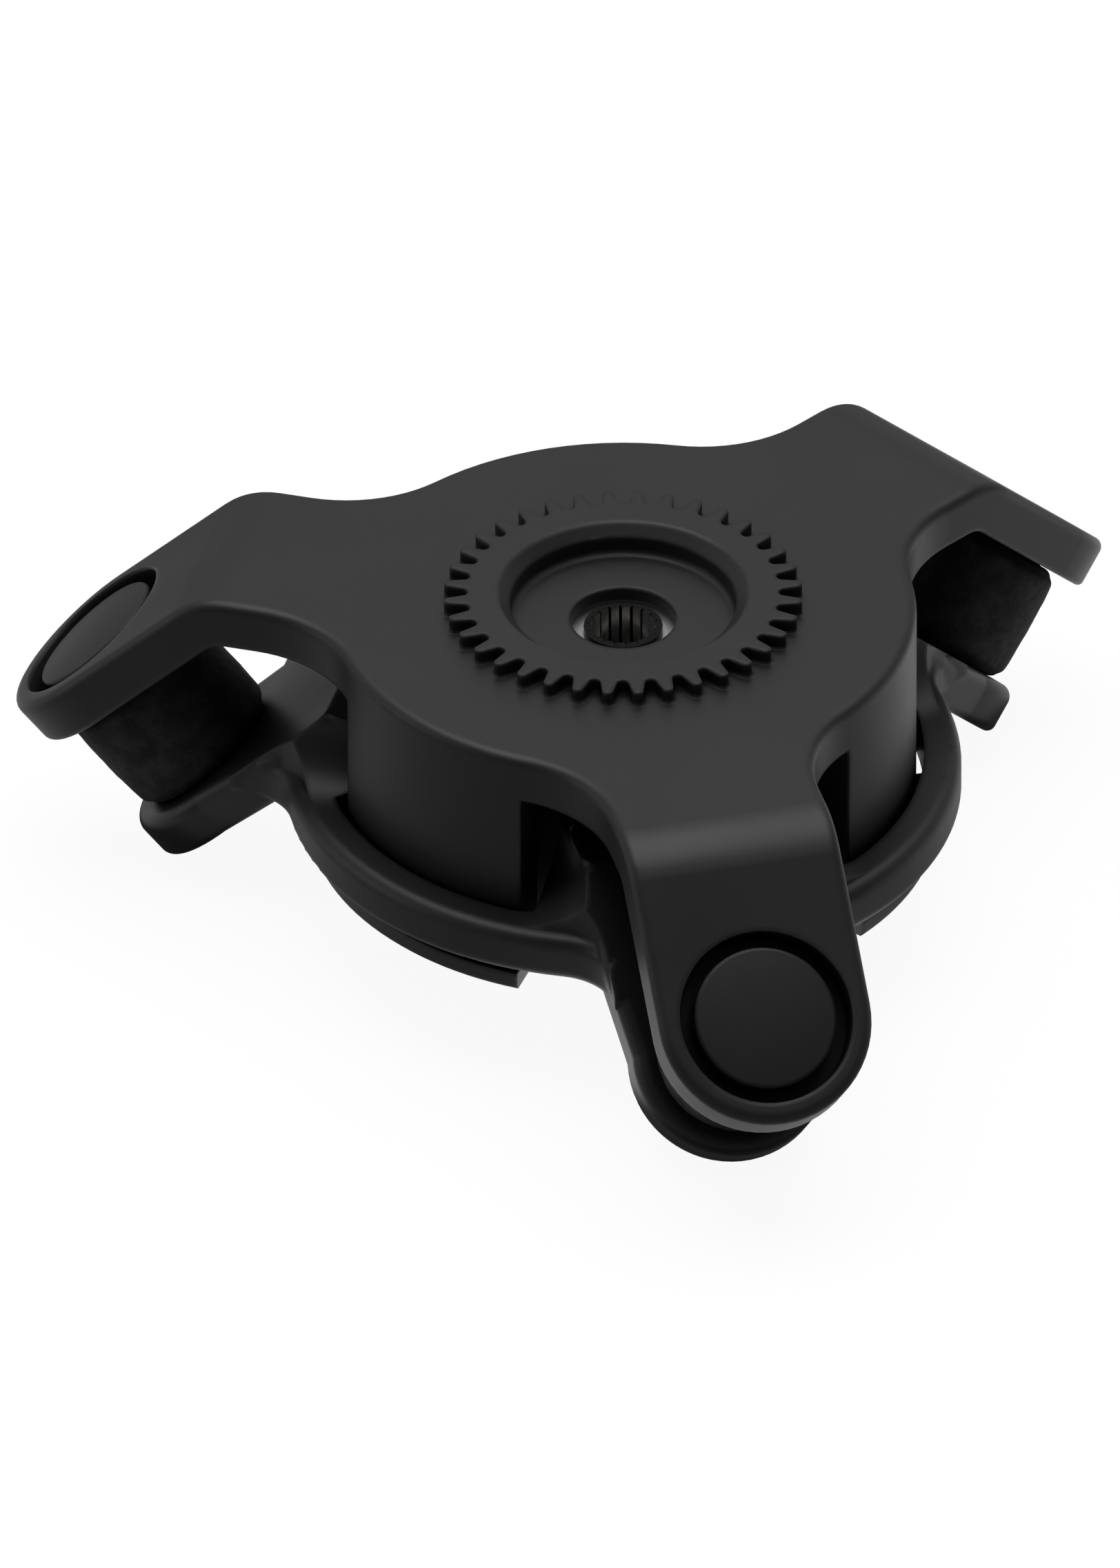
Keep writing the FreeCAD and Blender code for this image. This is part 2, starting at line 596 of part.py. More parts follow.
def make_grommet(angle):
    low = -ARM_GAP + SOFT_GAP
    shoulder = -PLATE_T - SOFT_GAP
    top = -CAP_HOLE_DEPTH - SOFT_GAP
    body = cylinder(GROMMET_R, low, shoulder)
    body = body.makeChamfer(GROMMET_CHAMFER, [e for e in body.Edges if e.Closed])
    neck = cylinder(WEB_HOLE_R - NECK_GAP, shoulder - 1, top)
    grommet = body.fuse(neck).removeSplitter()
    grommet = grommet.cut(cylinder(POST_R + SOFT_GAP, low - 1, top + 1))
    grommet = grommet.cut(cylinder(POST_R + NECK_ROOM, (low + shoulder) / 2, top + 1))
    return place_on_arm(grommet, angle)


def make_buffer(angle):
    low = -CAP_HOLE_DEPTH + SOFT_GAP
    high = -CAP_T - SOFT_GAP
    return place_on_arm(tube(POST_R + NECK_ROOM, CAP_R - NECK_GAP, low, high), angle)


# ---- write every piece -----------------------------------------------------------------------
def build_all():
    parts = {
        "upper_chassis": make_upper_chassis(),
        "lower_chassis": make_lower_chassis(),
        "centre_bush": make_centre_bush(),
        "toothed_insert": make_toothed_insert(),
        "bush_screws": make_bush_screws(),
        "hub_screw": make_hub_screw(),
        "hub_washer": make_hub_washer(),
    }
    for name, angle in WALL_ANGLES.items():
        parts["retainer_" + name] = make_retainer(angle)
        parts["retainer_screws_" + name] = make_retainer_screws(angle)
    for name, angle in ARM_ANGLES.items():
        parts["cap_post_" + name] = make_cap_post(angle)
        parts["arm_screw_" + name] = make_arm_screw(angle)
        parts["grommet_" + name] = make_grommet(angle)
        parts["buffer_" + name] = make_buffer(angle)
    return parts


os.makedirs("parts", exist_ok=True)
for node, solid in build_all().items():
    solid.exportStep("parts/" + node + ".step")
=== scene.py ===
import json
import math

import bmesh
import bpy
import numpy as np
from mathutils import Matrix, Vector, noise


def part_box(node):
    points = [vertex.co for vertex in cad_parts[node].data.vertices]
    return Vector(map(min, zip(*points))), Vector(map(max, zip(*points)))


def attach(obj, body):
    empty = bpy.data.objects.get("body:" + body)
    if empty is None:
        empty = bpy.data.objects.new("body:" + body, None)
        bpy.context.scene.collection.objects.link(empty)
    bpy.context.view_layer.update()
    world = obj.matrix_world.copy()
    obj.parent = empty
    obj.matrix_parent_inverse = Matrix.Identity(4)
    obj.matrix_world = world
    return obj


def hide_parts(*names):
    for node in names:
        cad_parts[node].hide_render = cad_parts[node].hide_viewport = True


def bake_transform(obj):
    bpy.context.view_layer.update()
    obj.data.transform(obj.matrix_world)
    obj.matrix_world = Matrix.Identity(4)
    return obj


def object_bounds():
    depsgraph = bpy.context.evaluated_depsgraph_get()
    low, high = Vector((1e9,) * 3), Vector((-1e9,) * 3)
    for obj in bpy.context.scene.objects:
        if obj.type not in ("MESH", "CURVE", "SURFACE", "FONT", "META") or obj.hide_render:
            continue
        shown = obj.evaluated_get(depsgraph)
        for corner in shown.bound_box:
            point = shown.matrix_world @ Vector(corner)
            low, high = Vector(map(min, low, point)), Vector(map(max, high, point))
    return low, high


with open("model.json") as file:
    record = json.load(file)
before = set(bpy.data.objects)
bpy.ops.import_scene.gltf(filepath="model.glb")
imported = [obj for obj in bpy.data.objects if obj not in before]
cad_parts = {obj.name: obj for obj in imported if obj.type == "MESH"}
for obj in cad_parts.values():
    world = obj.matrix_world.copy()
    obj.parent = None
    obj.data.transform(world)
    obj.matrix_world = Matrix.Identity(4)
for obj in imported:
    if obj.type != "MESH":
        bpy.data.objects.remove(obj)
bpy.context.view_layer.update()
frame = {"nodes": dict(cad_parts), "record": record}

# Three-arm vibration damper: looks of every CAD piece, the rubber parts, stage, light and camera.
# Metres throughout.  Front arm along -Y, +Z up.

MM = 0.001
ARMS = ("front", "right", "left")
SEGMENTS = 144                  # facets round every turned piece
CORNER_STEPS = 5                # stretches in every rounded corner of a profile
CAP_CROWN_R = 53.0 * MM         # radius of the caps' domed tops

# ---- camera --------------------------------------------------------------------------------
VIEW_AZIMUTH = -14.745          # degrees, 0 looks along +Y
VIEW_ELEVATION = 34.745
VIEW_ROLL = -0.143
VIEW_DISTANCE = 2.9226
VIEW_HEIGHT = 0.10039           # height of the picture at the object
VIEW_LEFT = 0.00404             # the picture's centre lies this far left of the spline's centre
VIEW_BELOW = 0.01230            # and this far below it
SENSOR = 36.0                   # millimetres, the camera's own unit for sensor and lens
CLIP_END = 100.0

# ---- levels of the studio ------------------------------------------------------------------
SKY_FRONT = 0.088               # brightness of the surroundings on the camera's side
SKY_BACK = 0.37                 # and behind the object
SKY_TURN = (-0.55, 0.65)        # how far back the one gives way to the other
SKY_TOP = 2.15                  # soft box overhead, a little behind the object
SOFT_BOX_FROM = (0.03, 0.20, 0.98)
SOFT_BOX_EDGE = (0.825, 0.92)   # cosine of the angle at its faint rim and at its full core
SKY_LEFT = 0.88                 # low strip of light on the left
STRIP_FROM = (-0.96, 0.24, 0.19)
STRIP_EDGE = (0.93, 0.985)

FLOOR_REACH = 12.0              # from the middle of the floor to its edge
FLOOR_COLOUR = 0.85
FLOOR_SHOWN = 1.08              # how bright the floor and backdrop look to the camera
FLOOR_SHADOW_SHARE = 0.14       # share of true shading in the floor that the camera sees
FLOOR_NEAR = 0.22               # how bright the floor looks in the object: in front of it
FLOOR_FAR = 0.85                # and behind it, towards the right
FLOOR_TURN = (0.35, 0.94)       # direction in plan in which it brightens
FLOOR_FROM, FLOOR_TO = -0.030, 0.060
FADE_FROM, FADE_TO = 0.035, 0.095       # further back it falls off again
FADE_LEVEL = 0.22
TOUCH_FROM, TOUCH_TO = 0.005, 0.009     # faces closer to the floor than this see it in shadow
TOUCH_LEVEL = 0.12
FLOOR_LIT = 1.00                # lit patch under the front arm
LIT_CENTRE = (0.002, -0.018)
LIT_RADII = (0.010, 0.024)
FLOOR_FROM_BELOW = 0.80         # brightness in the underside, for a camera under the floor
FLOOR_CROSSING = 10 * MM        # drop of the camera over which that takes hold

# ---- detail of the surfaces ----------------------------------------------------------------
# A grain is given as its cells to the metre, and a depth as the height of its bumps.
EDGE_AGREEMENT = (0.995, 0.90)  # cosine between true and eased normal: flat ground, full edge
CAP_TOP_FACING = (0.95, 0.98)   # cosine to the cap's axis: beside the dome, on the dome

COAT_LEVEL, COAT_ROUGHNESS = 0.016, 0.38
CAP_LEVEL, CAP_ROUGHNESS = 0.009, 0.40
COAT_CLOUDS = 90.0
COAT_SCUFFS = 700.0
COAT_GRAIN, COAT_GRAIN_DEPTH = 5200.0, 0.012 * MM
COAT_EDGE = 0.45 * MM
# Painted shade: ambient occlusion within these reaches darkens the coat's colour and reflection.
COAT_SHADE = 0.001              # painted shade: colour left at the bottom of a crevice
CREVICE_REACH = 1.6 * MM
CAVITY_REACH = 10 * MM
CAVITY_OPEN = 0.28              # openness that counts as in the open
FRAME_CAVITY_OPEN = 0.68        # the same on the lower frame, which gets more painted shade under the plate

RUBBER_MOTTLE, RUBBER_MOTTLE_DEPTH = 650.0, 0.12 * MM
RUBBER_PORES, RUBBER_PORE_DEPTH = 6500.0, 0.03 * MM
RUBBER_DARK, RUBBER_BLOOM = 0.016, 0.042

TOOL_MARKS = 9000.0
STEEL_STAIN = 400.0
STEEL_MARK_DEPTH = 0.01 * MM
BLACKING_PATCHES = 1500.0
BLACKING_EDGE = 0.15 * MM
TOOTH_PATCHES = 2500.0
TOOTH_TIPS_R = 2.06 * MM        # painted glints: the toothed ring is bright inside this radius
TOOTH_ROOTS_R = 2.22 * MM       # and black outside this one, as painted shade in its grooves


# ---- node helpers --------------------------------------------------------------------------
class Nodes:
    """Short-hand for building one node tree."""

    def __init__(self, tree):
        self.tree = tree
        tree.nodes.clear()

    def add(self, kind, **settings):
        node = self.tree.nodes.new(kind)
        for key, value in settings.items():
            setattr(node, key, value)
        return node

    def link(self, source, target):
        self.tree.links.new(source, target)

    def set(self, socket, value):
        """Feed a socket from another socket or with a plain value; None leaves it as it is."""
        if value is None:
            return
        if hasattr(value, "is_output"):
            self.link(value, socket)
        else:
            socket.default_value = value

    def math(self, operation, a, b=None):
        node = self.add("ShaderNodeMath", operation=operation)
        for socket, value in zip(node.inputs, (a, b)):
            self.set(socket, value)
        return node.outputs[0]

    def vector(self, operation, a, b=None, scale=None):
        """Vector arithmetic; the result of DOT_PRODUCT and DISTANCE is a number."""
        node = self.add("ShaderNodeVectorMath", operation=operation)
        for socket, value in zip(node.inputs, (a, b)):
            self.set(socket, value)
        if scale is not None:
            self.set(node.inputs["Scale"], scale)
        return node.outputs["Value" if operation in ("DOT_PRODUCT", "DISTANCE") else "Vector"]

    def split(self, vector):
        """The three components of a vector."""
        node = self.add("ShaderNodeSeparateXYZ")
        self.link(vector, node.inputs[0])
        return tuple(node.outputs)

    def geometry(self, name):
        return self.add("ShaderNodeNewGeometry").outputs[name]

    def span(self, value, low, high, to_low=0.0, to_high=1.0):
        """Smooth step: value from low to high gives to_low to to_high."""
        node = self.add("ShaderNodeMapRange", interpolation_type="SMOOTHSTEP")
        for name, item in zip(("Value", "From Min", "From Max", "To Min", "To Max"),
                              (value, low, high, to_low, to_high)):
            self.set(node.inputs[name], item)
        return node.outputs["Result"]

    def blend(self, share, a, b):
        """Number between a, at share 0, and b, at share 1."""
        node = self.add("ShaderNodeMix", data_type="FLOAT")
        self.set(node.inputs[0], share)
        self.set(node.inputs[2], a)
        self.set(node.inputs[3], b)
        return node.outputs[0]

    def tint(self, share, a, b):
        """Colour between a, at share 0, and b, at share 1."""
        node = self.add("ShaderNodeMix", data_type="RGBA")
        self.set(node.inputs[0], share)
        self.set(node.inputs[6], a)
        self.set(node.inputs[7], b)
        return node.outputs[2]

    def noise(self, place, scale, detail=4.0, rough=0.55, distortion=0.0):
        node = self.add("ShaderNodeTexNoise")
        self.set(node.inputs["Vector"], place)
        self.set(node.inputs["Scale"], scale)
        self.set(node.inputs["Detail"], detail)
        self.set(node.inputs["Roughness"], rough)
        self.set(node.inputs["Distortion"], distortion)
        return node.outputs["Fac"]

    def bump(self, height, distance, strength, under=None):
        node = self.add("ShaderNodeBump")
        self.set(node.inputs["Height"], height)
        self.set(node.inputs["Distance"], distance)
        self.set(node.inputs["Strength"], strength)
        self.set(node.inputs["Normal"], under)
        return node.outputs["Normal"]

    def shader_mix(self, share, a, b):
        node = self.add("ShaderNodeMixShader")
        for socket, value in zip(node.inputs, (share, a, b)):
            self.set(socket, value)
        return node.outputs[0]


def grey(level, warm=0.0):
    """Neutral colour; warm is the share by which red rises and blue falls."""
    return (level * (1 + warm), level, level * (1 - warm), 1.0)


def new_material(name):
    material = bpy.data.materials.new(name)
    material.use_nodes = True
    nodes = Nodes(material.node_tree)
    out = nodes.add("ShaderNodeOutputMaterial")
    shader = nodes.add("ShaderNodeBsdfPrincipled")
    nodes.link(shader.outputs[0], out.inputs["Surface"])
    place = nodes.add("ShaderNodeTexCoord").outputs["Object"]
    return material, nodes, shader, place


def hidden_share(nodes, distance, shut, open_at, darkest, samples):
    """Share of light left at a point: darkest where surfaces within distance shut it in, and 1
    in the open."""
    hidden = nodes.add("ShaderNodeAmbientOcclusion", samples=samples)
    nodes.set(hidden.inputs["Distance"], distance)
    return nodes.span(hidden.outputs["AO"], shut, open_at, darkest, 1.0)


def eased_normal(nodes, radius):
    """Normal as if every edge and crease were rounded by radius, and how far it leaves the true
    one: 0 on flat ground, 1 on an edge."""
    eased = nodes.add("ShaderNodeBevel", samples=4)
    nodes.set(eased.inputs["Radius"], radius)
    agreement = nodes.vector("DOT_PRODUCT", eased.outputs[0], nodes.geometry("Normal"))
    return eased.outputs[0], nodes.span(agreement, *EDGE_AGREEMENT)


def crowned_normal(nodes, place, centre, axis, elsewhere):
    """Exact normal of a cap's domed top, free of its facets; the given one elsewhere."""
    offset = nodes.vector("SUBTRACT", place, centre)
    along = nodes.vector("SCALE", axis, scale=nodes.vector("DOT_PRODUCT", offset, axis))
    outward = nodes.vector("SUBTRACT", offset, along)
    tilt = nodes.vector("SCALE", outward, scale=1 / CAP_CROWN_R)
    dome = nodes.vector("NORMALIZE", nodes.vector("ADD", tilt, axis))
    facing = nodes.vector("DOT_PRODUCT", nodes.geometry("Normal"), axis)
    mix = nodes.add("ShaderNodeMix", data_type="VECTOR")
    nodes.link(nodes.span(facing, *CAP_TOP_FACING), mix.inputs[0])
    nodes.link(elsewhere, mix.inputs[4])
    nodes.link(dome, mix.inputs[5])
    return mix.outputs[1]


# ---- materials -----------------------------------------------------------------------------
def coated_black(name, base, roughness, cavity_open=CAVITY_OPEN, crown=None):
    """Satin black coating on aluminium: fine grain, cloudy sheen, slightly polished edges and
    painted shade in crevices.
    crown is the centre and axis of a domed top."""
    material, nodes, shader, place = new_material(name)
    cloud = nodes.noise(place, COAT_CLOUDS, detail=3.0)
    speck = nodes.noise(place, COAT_GRAIN, detail=2.0, rough=0.6)
    normal, edge = eased_normal(nodes, COAT_EDGE)
    scuffs = nodes.span(nodes.noise(place, COAT_SCUFFS, detail=5.0), 0.45, 0.7)
    scuffed = nodes.math("MULTIPLY", edge, scuffs)
    colour = nodes.tint(cloud, grey(base * 0.9), grey(base * 1.1))
    colour = nodes.tint(scuffed, colour, grey(base * 2.2, 0.01))
    # Painted shade: the coat's colour and reflection darken where nearby surfaces shut out the
    # light.
    crevice = hidden_share(nodes, CREVICE_REACH, 0.10, 0.55, darkest=0.20, samples=4)
    cavity = hidden_share(nodes, CAVITY_REACH, 0.03, cavity_open, darkest=0.15, samples=3)
    open_share = nodes.math("MULTIPLY", crevice, cavity)
    nodes.set(shader.inputs["Base Color"], nodes.tint(open_share, grey(COAT_SHADE), colour))
    rough = nodes.span(cloud, 0.3, 0.7, roughness - 0.03, roughness + 0.03)
    rough = nodes.math("ADD", rough, nodes.math("MULTIPLY", speck, 0.05))
    rough = nodes.math("SUBTRACT", rough, nodes.math("MULTIPLY", edge, 0.05))
    nodes.set(shader.inputs["Roughness"], rough)
    nodes.set(shader.inputs["Specular IOR Level"], nodes.math("MULTIPLY", open_share, 0.5))
    if crown:
        normal = crowned_normal(nodes, place, *crown, normal)
    nodes.set(shader.inputs["Normal"], nodes.bump(speck, COAT_GRAIN_DEPTH, 0.35, normal))
    return material


def rubber_black():
    """Moulded rubber: dull, mottled, with a faint bloom."""
    material, nodes, shader, place = new_material("rubber_mottled")
    mottle = nodes.noise(place, RUBBER_MOTTLE, detail=6.0, rough=0.65, distortion=0.1)
    pores = nodes.noise(place, RUBBER_PORES, detail=3.0, rough=0.7)
    bloom = nodes.span(mottle, 0.35, 0.72)
    colour = nodes.tint(bloom, grey(RUBBER_DARK), grey(RUBBER_BLOOM, 0.01))
    nodes.set(shader.inputs["Base Color"], colour)
    nodes.set(shader.inputs["Roughness"], nodes.span(pores, 0.3, 0.7, 0.68, 0.88))
    nodes.set(shader.inputs["Specular IOR Level"], 0.25)
    coarse = nodes.bump(mottle, RUBBER_MOTTLE_DEPTH, 0.6)
    nodes.set(shader.inputs["Normal"], nodes.bump(pores, RUBBER_PORE_DEPTH, 0.5, coarse))
    return material


def axis_distance(nodes, x, y):
    """Distance from the object's Z axis."""
    squares = nodes.math("ADD", nodes.math("MULTIPLY", x, x), nodes.math("MULTIPLY", y, y))
    return nodes.math("SQRT", squares)


def machined_steel():
    """Bright turned steel: rings left by the tool, and faint stains."""
    material, nodes, shader, place = new_material("steel_turned")
    x, y, z = nodes.split(place)
    rings = nodes.add("ShaderNodeCombineXYZ")
    nodes.link(axis_distance(nodes, x, y), rings.inputs[0])
    nodes.link(z, rings.inputs[1])
    lines = nodes.noise(rings.outputs[0], TOOL_MARKS, detail=2.0, rough=0.7)
    stain = nodes.noise(place, STEEL_STAIN, detail=4.0)
    nodes.set(shader.inputs["Metallic"], 1.0)
    nodes.set(shader.inputs["Base Color"], nodes.tint(stain, grey(0.46, 0.01), grey(0.62, 0.02)))
    nodes.set(shader.inputs["Roughness"], nodes.span(lines, 0.25, 0.75, 0.24, 0.38))
    nodes.set(shader.inputs["Normal"], nodes.bump(lines, STEEL_MARK_DEPTH, 0.4))
    return material


def blackened_steel():
    """Black-oxide screws: dark, slightly oily, brighter along worn edges."""
    material, nodes, shader, place = new_material("steel_blackened")
    patch = nodes.noise(place, BLACKING_PATCHES, detail=4.0)
    edge = eased_normal(nodes, BLACKING_EDGE)[1]
    worn = nodes.math("MULTIPLY", edge, nodes.span(patch, 0.42, 0.62))
    nodes.set(shader.inputs["Metallic"], 0.85)
    colour = nodes.tint(patch, grey(0.018), grey(0.035, 0.02))
    nodes.set(shader.inputs["Base Color"], nodes.tint(worn, colour, grey(0.22, 0.03)))
    nodes.set(shader.inputs["Roughness"], nodes.span(patch, 0.3, 0.7, 0.32, 0.46))
    nodes.set(shader.inputs["Normal"], nodes.bump(patch, STEEL_MARK_DEPTH, 0.3))
    return material


def toothed_steel():
    """Pressed-in toothed ring: dark on top, black in its grooves as painted shade, and bright
    steel on the teeth as painted glints.
    """
    material, nodes, shader, place = new_material("steel_toothed")
    upward = nodes.split(nodes.geometry("Normal"))[2]
    x, y, _ = nodes.split(place)
    top = nodes.span(upward, 0.4, 0.8)
    # Painted shade in the grooves, outside TOOTH_ROOTS_R, and painted glints on the teeth, inside
    # TOOTH_TIPS_R.
    groove = nodes.span(axis_distance(nodes, x, y), TOOTH_TIPS_R, TOOTH_ROOTS_R)
    dark_top_and_groove_shade = nodes.math("MAXIMUM", top, groove)
    patch = nodes.noise(place, TOOTH_PATCHES, detail=3.0)
    cut = nodes.tint(patch, grey(0.70, 0.01), grey(0.90, 0.02))
    black = nodes.tint(patch, grey(0.010), grey(0.030, 0.02))
    nodes.set(shader.inputs["Metallic"], 1.0)
    nodes.set(shader.inputs["Base Color"], nodes.tint(dark_top_and_groove_shade, cut, black))
    nodes.set(shader.inputs["Roughness"], nodes.span(patch, 0.3, 0.7, 0.18, 0.26))
    nodes.set(shader.inputs["Normal"], nodes.bump(patch, STEEL_MARK_DEPTH, 0.2))
    return material


LOOKS = {
    "coated_black": coated_black("satin_black", COAT_LEVEL, COAT_ROUGHNESS),
    "black_steel": blackened_steel(),
    "steel": machined_steel(),
    "rubber": rubber_black(),
}


# ---- shapes of revolution ------------------------------------------------------------------
def turned_frame(node):
    """Place and measures of a turned CAD node: centre, axis pointing up, and the heights and
    radii of its vertices.  The axis is the direction in which the spread of the surface's
    normals differs most from the other two."""
    mesh = frame["nodes"][node].data
    spread = np.zeros((3, 3))
    centre = np.zeros(3)
    total = 0.0
    for face in mesh.polygons:
        normal = np.array(face.normal)
        spread += face.area * np.outer(normal, normal)
        centre += face.area * np.array(face.center)
        total += face.area
    centre /= total
    values, vectors = np.linalg.eigh(spread)
    gaps = [abs(values[i] - (values.sum() - values[i]) / 2) for i in range(3)]
    axis = vectors[:, int(np.argmax(gaps))]
    if axis[2] < 0:
        axis = -axis
    points = np.array([v.co for v in mesh.vertices]) - centre
    heights = points @ axis
    radii = np.linalg.norm(points - np.outer(heights, axis), axis=1)
    return Vector(centre), Vector(axis), heights, radii


def join_rings(mesh, rings):
    """Faces between each ring of vertices and the next."""
    for low, high in zip(rings, rings[1:]):
        for k in range(SEGMENTS):
            after = (k + 1) % SEGMENTS
            mesh.faces.new((low[k], low[after], high[after], high[k]))


def finished_piece(name, mesh):
    """Smooth-shaded object from a mesh under construction, with its faces turned outward."""
    bmesh.ops.recalc_face_normals(mesh, faces=mesh.faces)
    data = bpy.data.meshes.new(name)
    mesh.to_mesh(data)
    mesh.free()
    data.shade_smooth()
    piece = bpy.data.objects.new(name, data)
    bpy.context.scene.collection.objects.link(piece)
    return piece


def revolve(name, profile, centre, axis, bumpiness):
    """Turn a closed (radius, height) profile round the axis; bumpiness roughens the surface."""
    turn = axis.to_track_quat("Z", "Y").to_matrix().to_4x4()
    place = Matrix.Translation(centre) @ turn
    mesh = bmesh.new()
    rows = []
    for radius, height in profile:
        row = []
        for k in range(SEGMENTS):
            angle = 2 * math.pi * k / SEGMENTS
            point = Vector((radius * math.cos(angle), radius * math.sin(angle), height))
            outward = Vector((point.x, point.y, 0)).normalized()
            point += outward * bumpiness * noise.fractal(point / BUMP_SIZE, 1.0, 2.0, 3)
            row.append(mesh.verts.new(place @ point))
        rows.append(row)
    join_rings(mesh, rows + rows[:1])
    return finished_piece(name, mesh)


def rounded(points, radius):
    """Closed outline with every corner rounded."""
    outline = []
    count = len(points)
    for i in range(count):
        here = Vector(points[i])
        before = Vector(points[i - 1])
        after = Vector(points[(i + 1) % count])
        reach = min(radius, (here - before).length * 0.45, (after - here).length * 0.45)
        start = here + (before - here).normalized() * reach
        end = here + (after - here).normalized() * reach
        for k in range(CORNER_STEPS + 1):
            t = k / CORNER_STEPS
            outline.append(start * (1 - t) ** 2 + here * 2 * t * (1 - t) + end * t ** 2)
    return outline


def divided(outline, longest):
    """Add points so that no stretch of the closed outline is longer than longest."""
    result = []
    for i, here in enumerate(outline):
        after = outline[(i + 1) % len(outline)]
        parts = max(1, math.ceil((after - here).length / longest))
        result.extend(here.lerp(after, k / parts) for k in range(parts))
    return result


def paint_cad_nodes():
    """Each CAD node gets its own look, or else its slot's."""
    looks = {"toothed_insert": toothed_steel()}
    # The lower frame gets more painted shade under the plate.
    looks["lower_chassis"] = coated_black("satin_black_frame", COAT_LEVEL, COAT_ROUGHNESS,
                                          cavity_open=FRAME_CAVITY_OPEN)
    for arm in ARMS:
        node = "cap_post_" + arm
        looks[node] = coated_black("satin_black_cap_" + arm, CAP_LEVEL, CAP_ROUGHNESS,
                                   crown=turned_frame(node)[:2])
    slots = {entry["node"]: entry["material_slot"] for entry in frame["record"]["subparts"]}
    for name, node in frame["nodes"].items():
        node.data.materials.clear()
        node.data.materials.append(looks.get(name) or LOOKS[slots[name]])


# ---- rubber --------------------------------------------------------------------------------
RUBBER_BULGE = 0.10 * MM        # how far the loaded rubber swells between the arms
RUBBER_ROUGHNESS = 0.035 * MM   # height of the bumps left by the mould
BUFFER_ROUGHNESS = RUBBER_ROUGHNESS * 0.3
BUMP_SIZE = 0.9 * MM
RUBBER_STEP = 0.35 * MM         # longest stretch of a profile
RUBBER_REACH = 0.045 * MM       # the rubber reaches down to touch the lower arm
GROMMET_CHAMFER = 0.7 * MM
GROMMET_ROUND = 0.3 * MM
NECK_STEP = 0.3 * MM            # the grommet's body is at least this much wider than its neck
MATCH = 0.05 * MM               # heights or radii that differ by less belong to one face


def make_rubber(node, profile, centre, axis, bumpiness):
    """Rubber piece in place of a CAD node."""
    piece = revolve("rubber_" + node, profile, centre, axis, bumpiness)
    piece.data.materials.append(LOOKS["rubber"])
    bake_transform(piece)
    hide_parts(node)


def grommet_outline(heights, radii):
    """Profile of a grommet after its CAD solid: chamfered body, neck through the upper arm and
    stepped bore.  Also gives the heights of the body's lower and upper end."""
    low, high = heights.min() - RUBBER_REACH, heights.max()
    outer = radii.max()
    neck = radii[heights > high - MATCH].max()
    shoulder = heights[radii > neck + NECK_STEP].max()
    bore = radii[heights < low + RUBBER_REACH + MATCH].min()
    wide_bore = radii[heights > high - MATCH].min()
    step = heights[(radii < wide_bore - MATCH) & (heights > low + 2 * MATCH)].max()
    cut = GROMMET_CHAMFER
    points = [
        (bore, low), (outer - cut, low), (outer, low + cut), (outer, shoulder - cut),
        (outer - cut, shoulder), (neck, shoulder), (neck, high), (wide_bore, high),
        (wide_bore, step), (bore, step),
    ]
    return divided(rounded(points, GROMMET_ROUND), RUBBER_STEP), low, shoulder


def bulged(outline, low, high):
    """The outline with its outer wall between two heights swollen in the middle."""
    outer = max(point[0] for point in outline)
    middle = (low + high) / 2
    half = (high - low) / 2 - GROMMET_CHAMFER
    profile = []
    for radius, height in outline:
        if radius > outer - GROMMET_CHAMFER * 0.5:
            swell = max(0.0, 1 - ((height - middle) / half) ** 2)
            radius += RUBBER_BULGE * swell - RUBBER_BULGE * 0.5
        profile.append((radius, height))
    return profile


def make_grommet(arm):
    node = "grommet_" + arm
    centre, axis, heights, radii = turned_frame(node)
    outline, low, shoulder = grommet_outline(heights, radii)
    profile = bulged(outline, low, shoulder)
    make_rubber(node, profile, centre, axis, RUBBER_ROUGHNESS)


def make_buffer(arm):
    node = "buffer_" + arm
    centre, axis, heights, radii = turned_frame(node)
    low, high = heights.min(), heights.max()
    inner, outer = radii.min(), radii.max()
    points = [(inner, low), (outer, low), (outer, high), (inner, high)]
    outline = divided(rounded(points, (high - low) * 0.4), RUBBER_STEP * 0.5)
    make_rubber(node, outline, centre, axis, BUFFER_ROUGHNESS)


# ---- hub screw -----------------------------------------------------------------------------
THREAD_PITCH = 0.8 * MM
THREAD_DEPTH = 0.45 * MM
THREAD_STEPS = 8                # rows to one pitch
THREAD_FLANK = 2.6              # steepness of the thread's flanks
THREAD_CREST = 0.15             # how wide its crest stays
TIP_CHAMFER = 0.5 * MM
HEAD_ROUND = 1.8 * MM
HEAD_STEPS = 12                 # rows in the rounding of the head
HEX_APOTHEM = 1.25 * MM
HEX_DEPTH = 1.6 * MM
EDGE_BREAK = 0.08 * MM
SHARP_ANGLE = 35                # degrees; the screw's edges above it stay sharp


def hexagon(angle):
    """Radius of the hexagon socket at an angle."""
    sixth = math.pi / 3
    return HEX_APOTHEM / math.cos((angle % sixth) - sixth / 2)


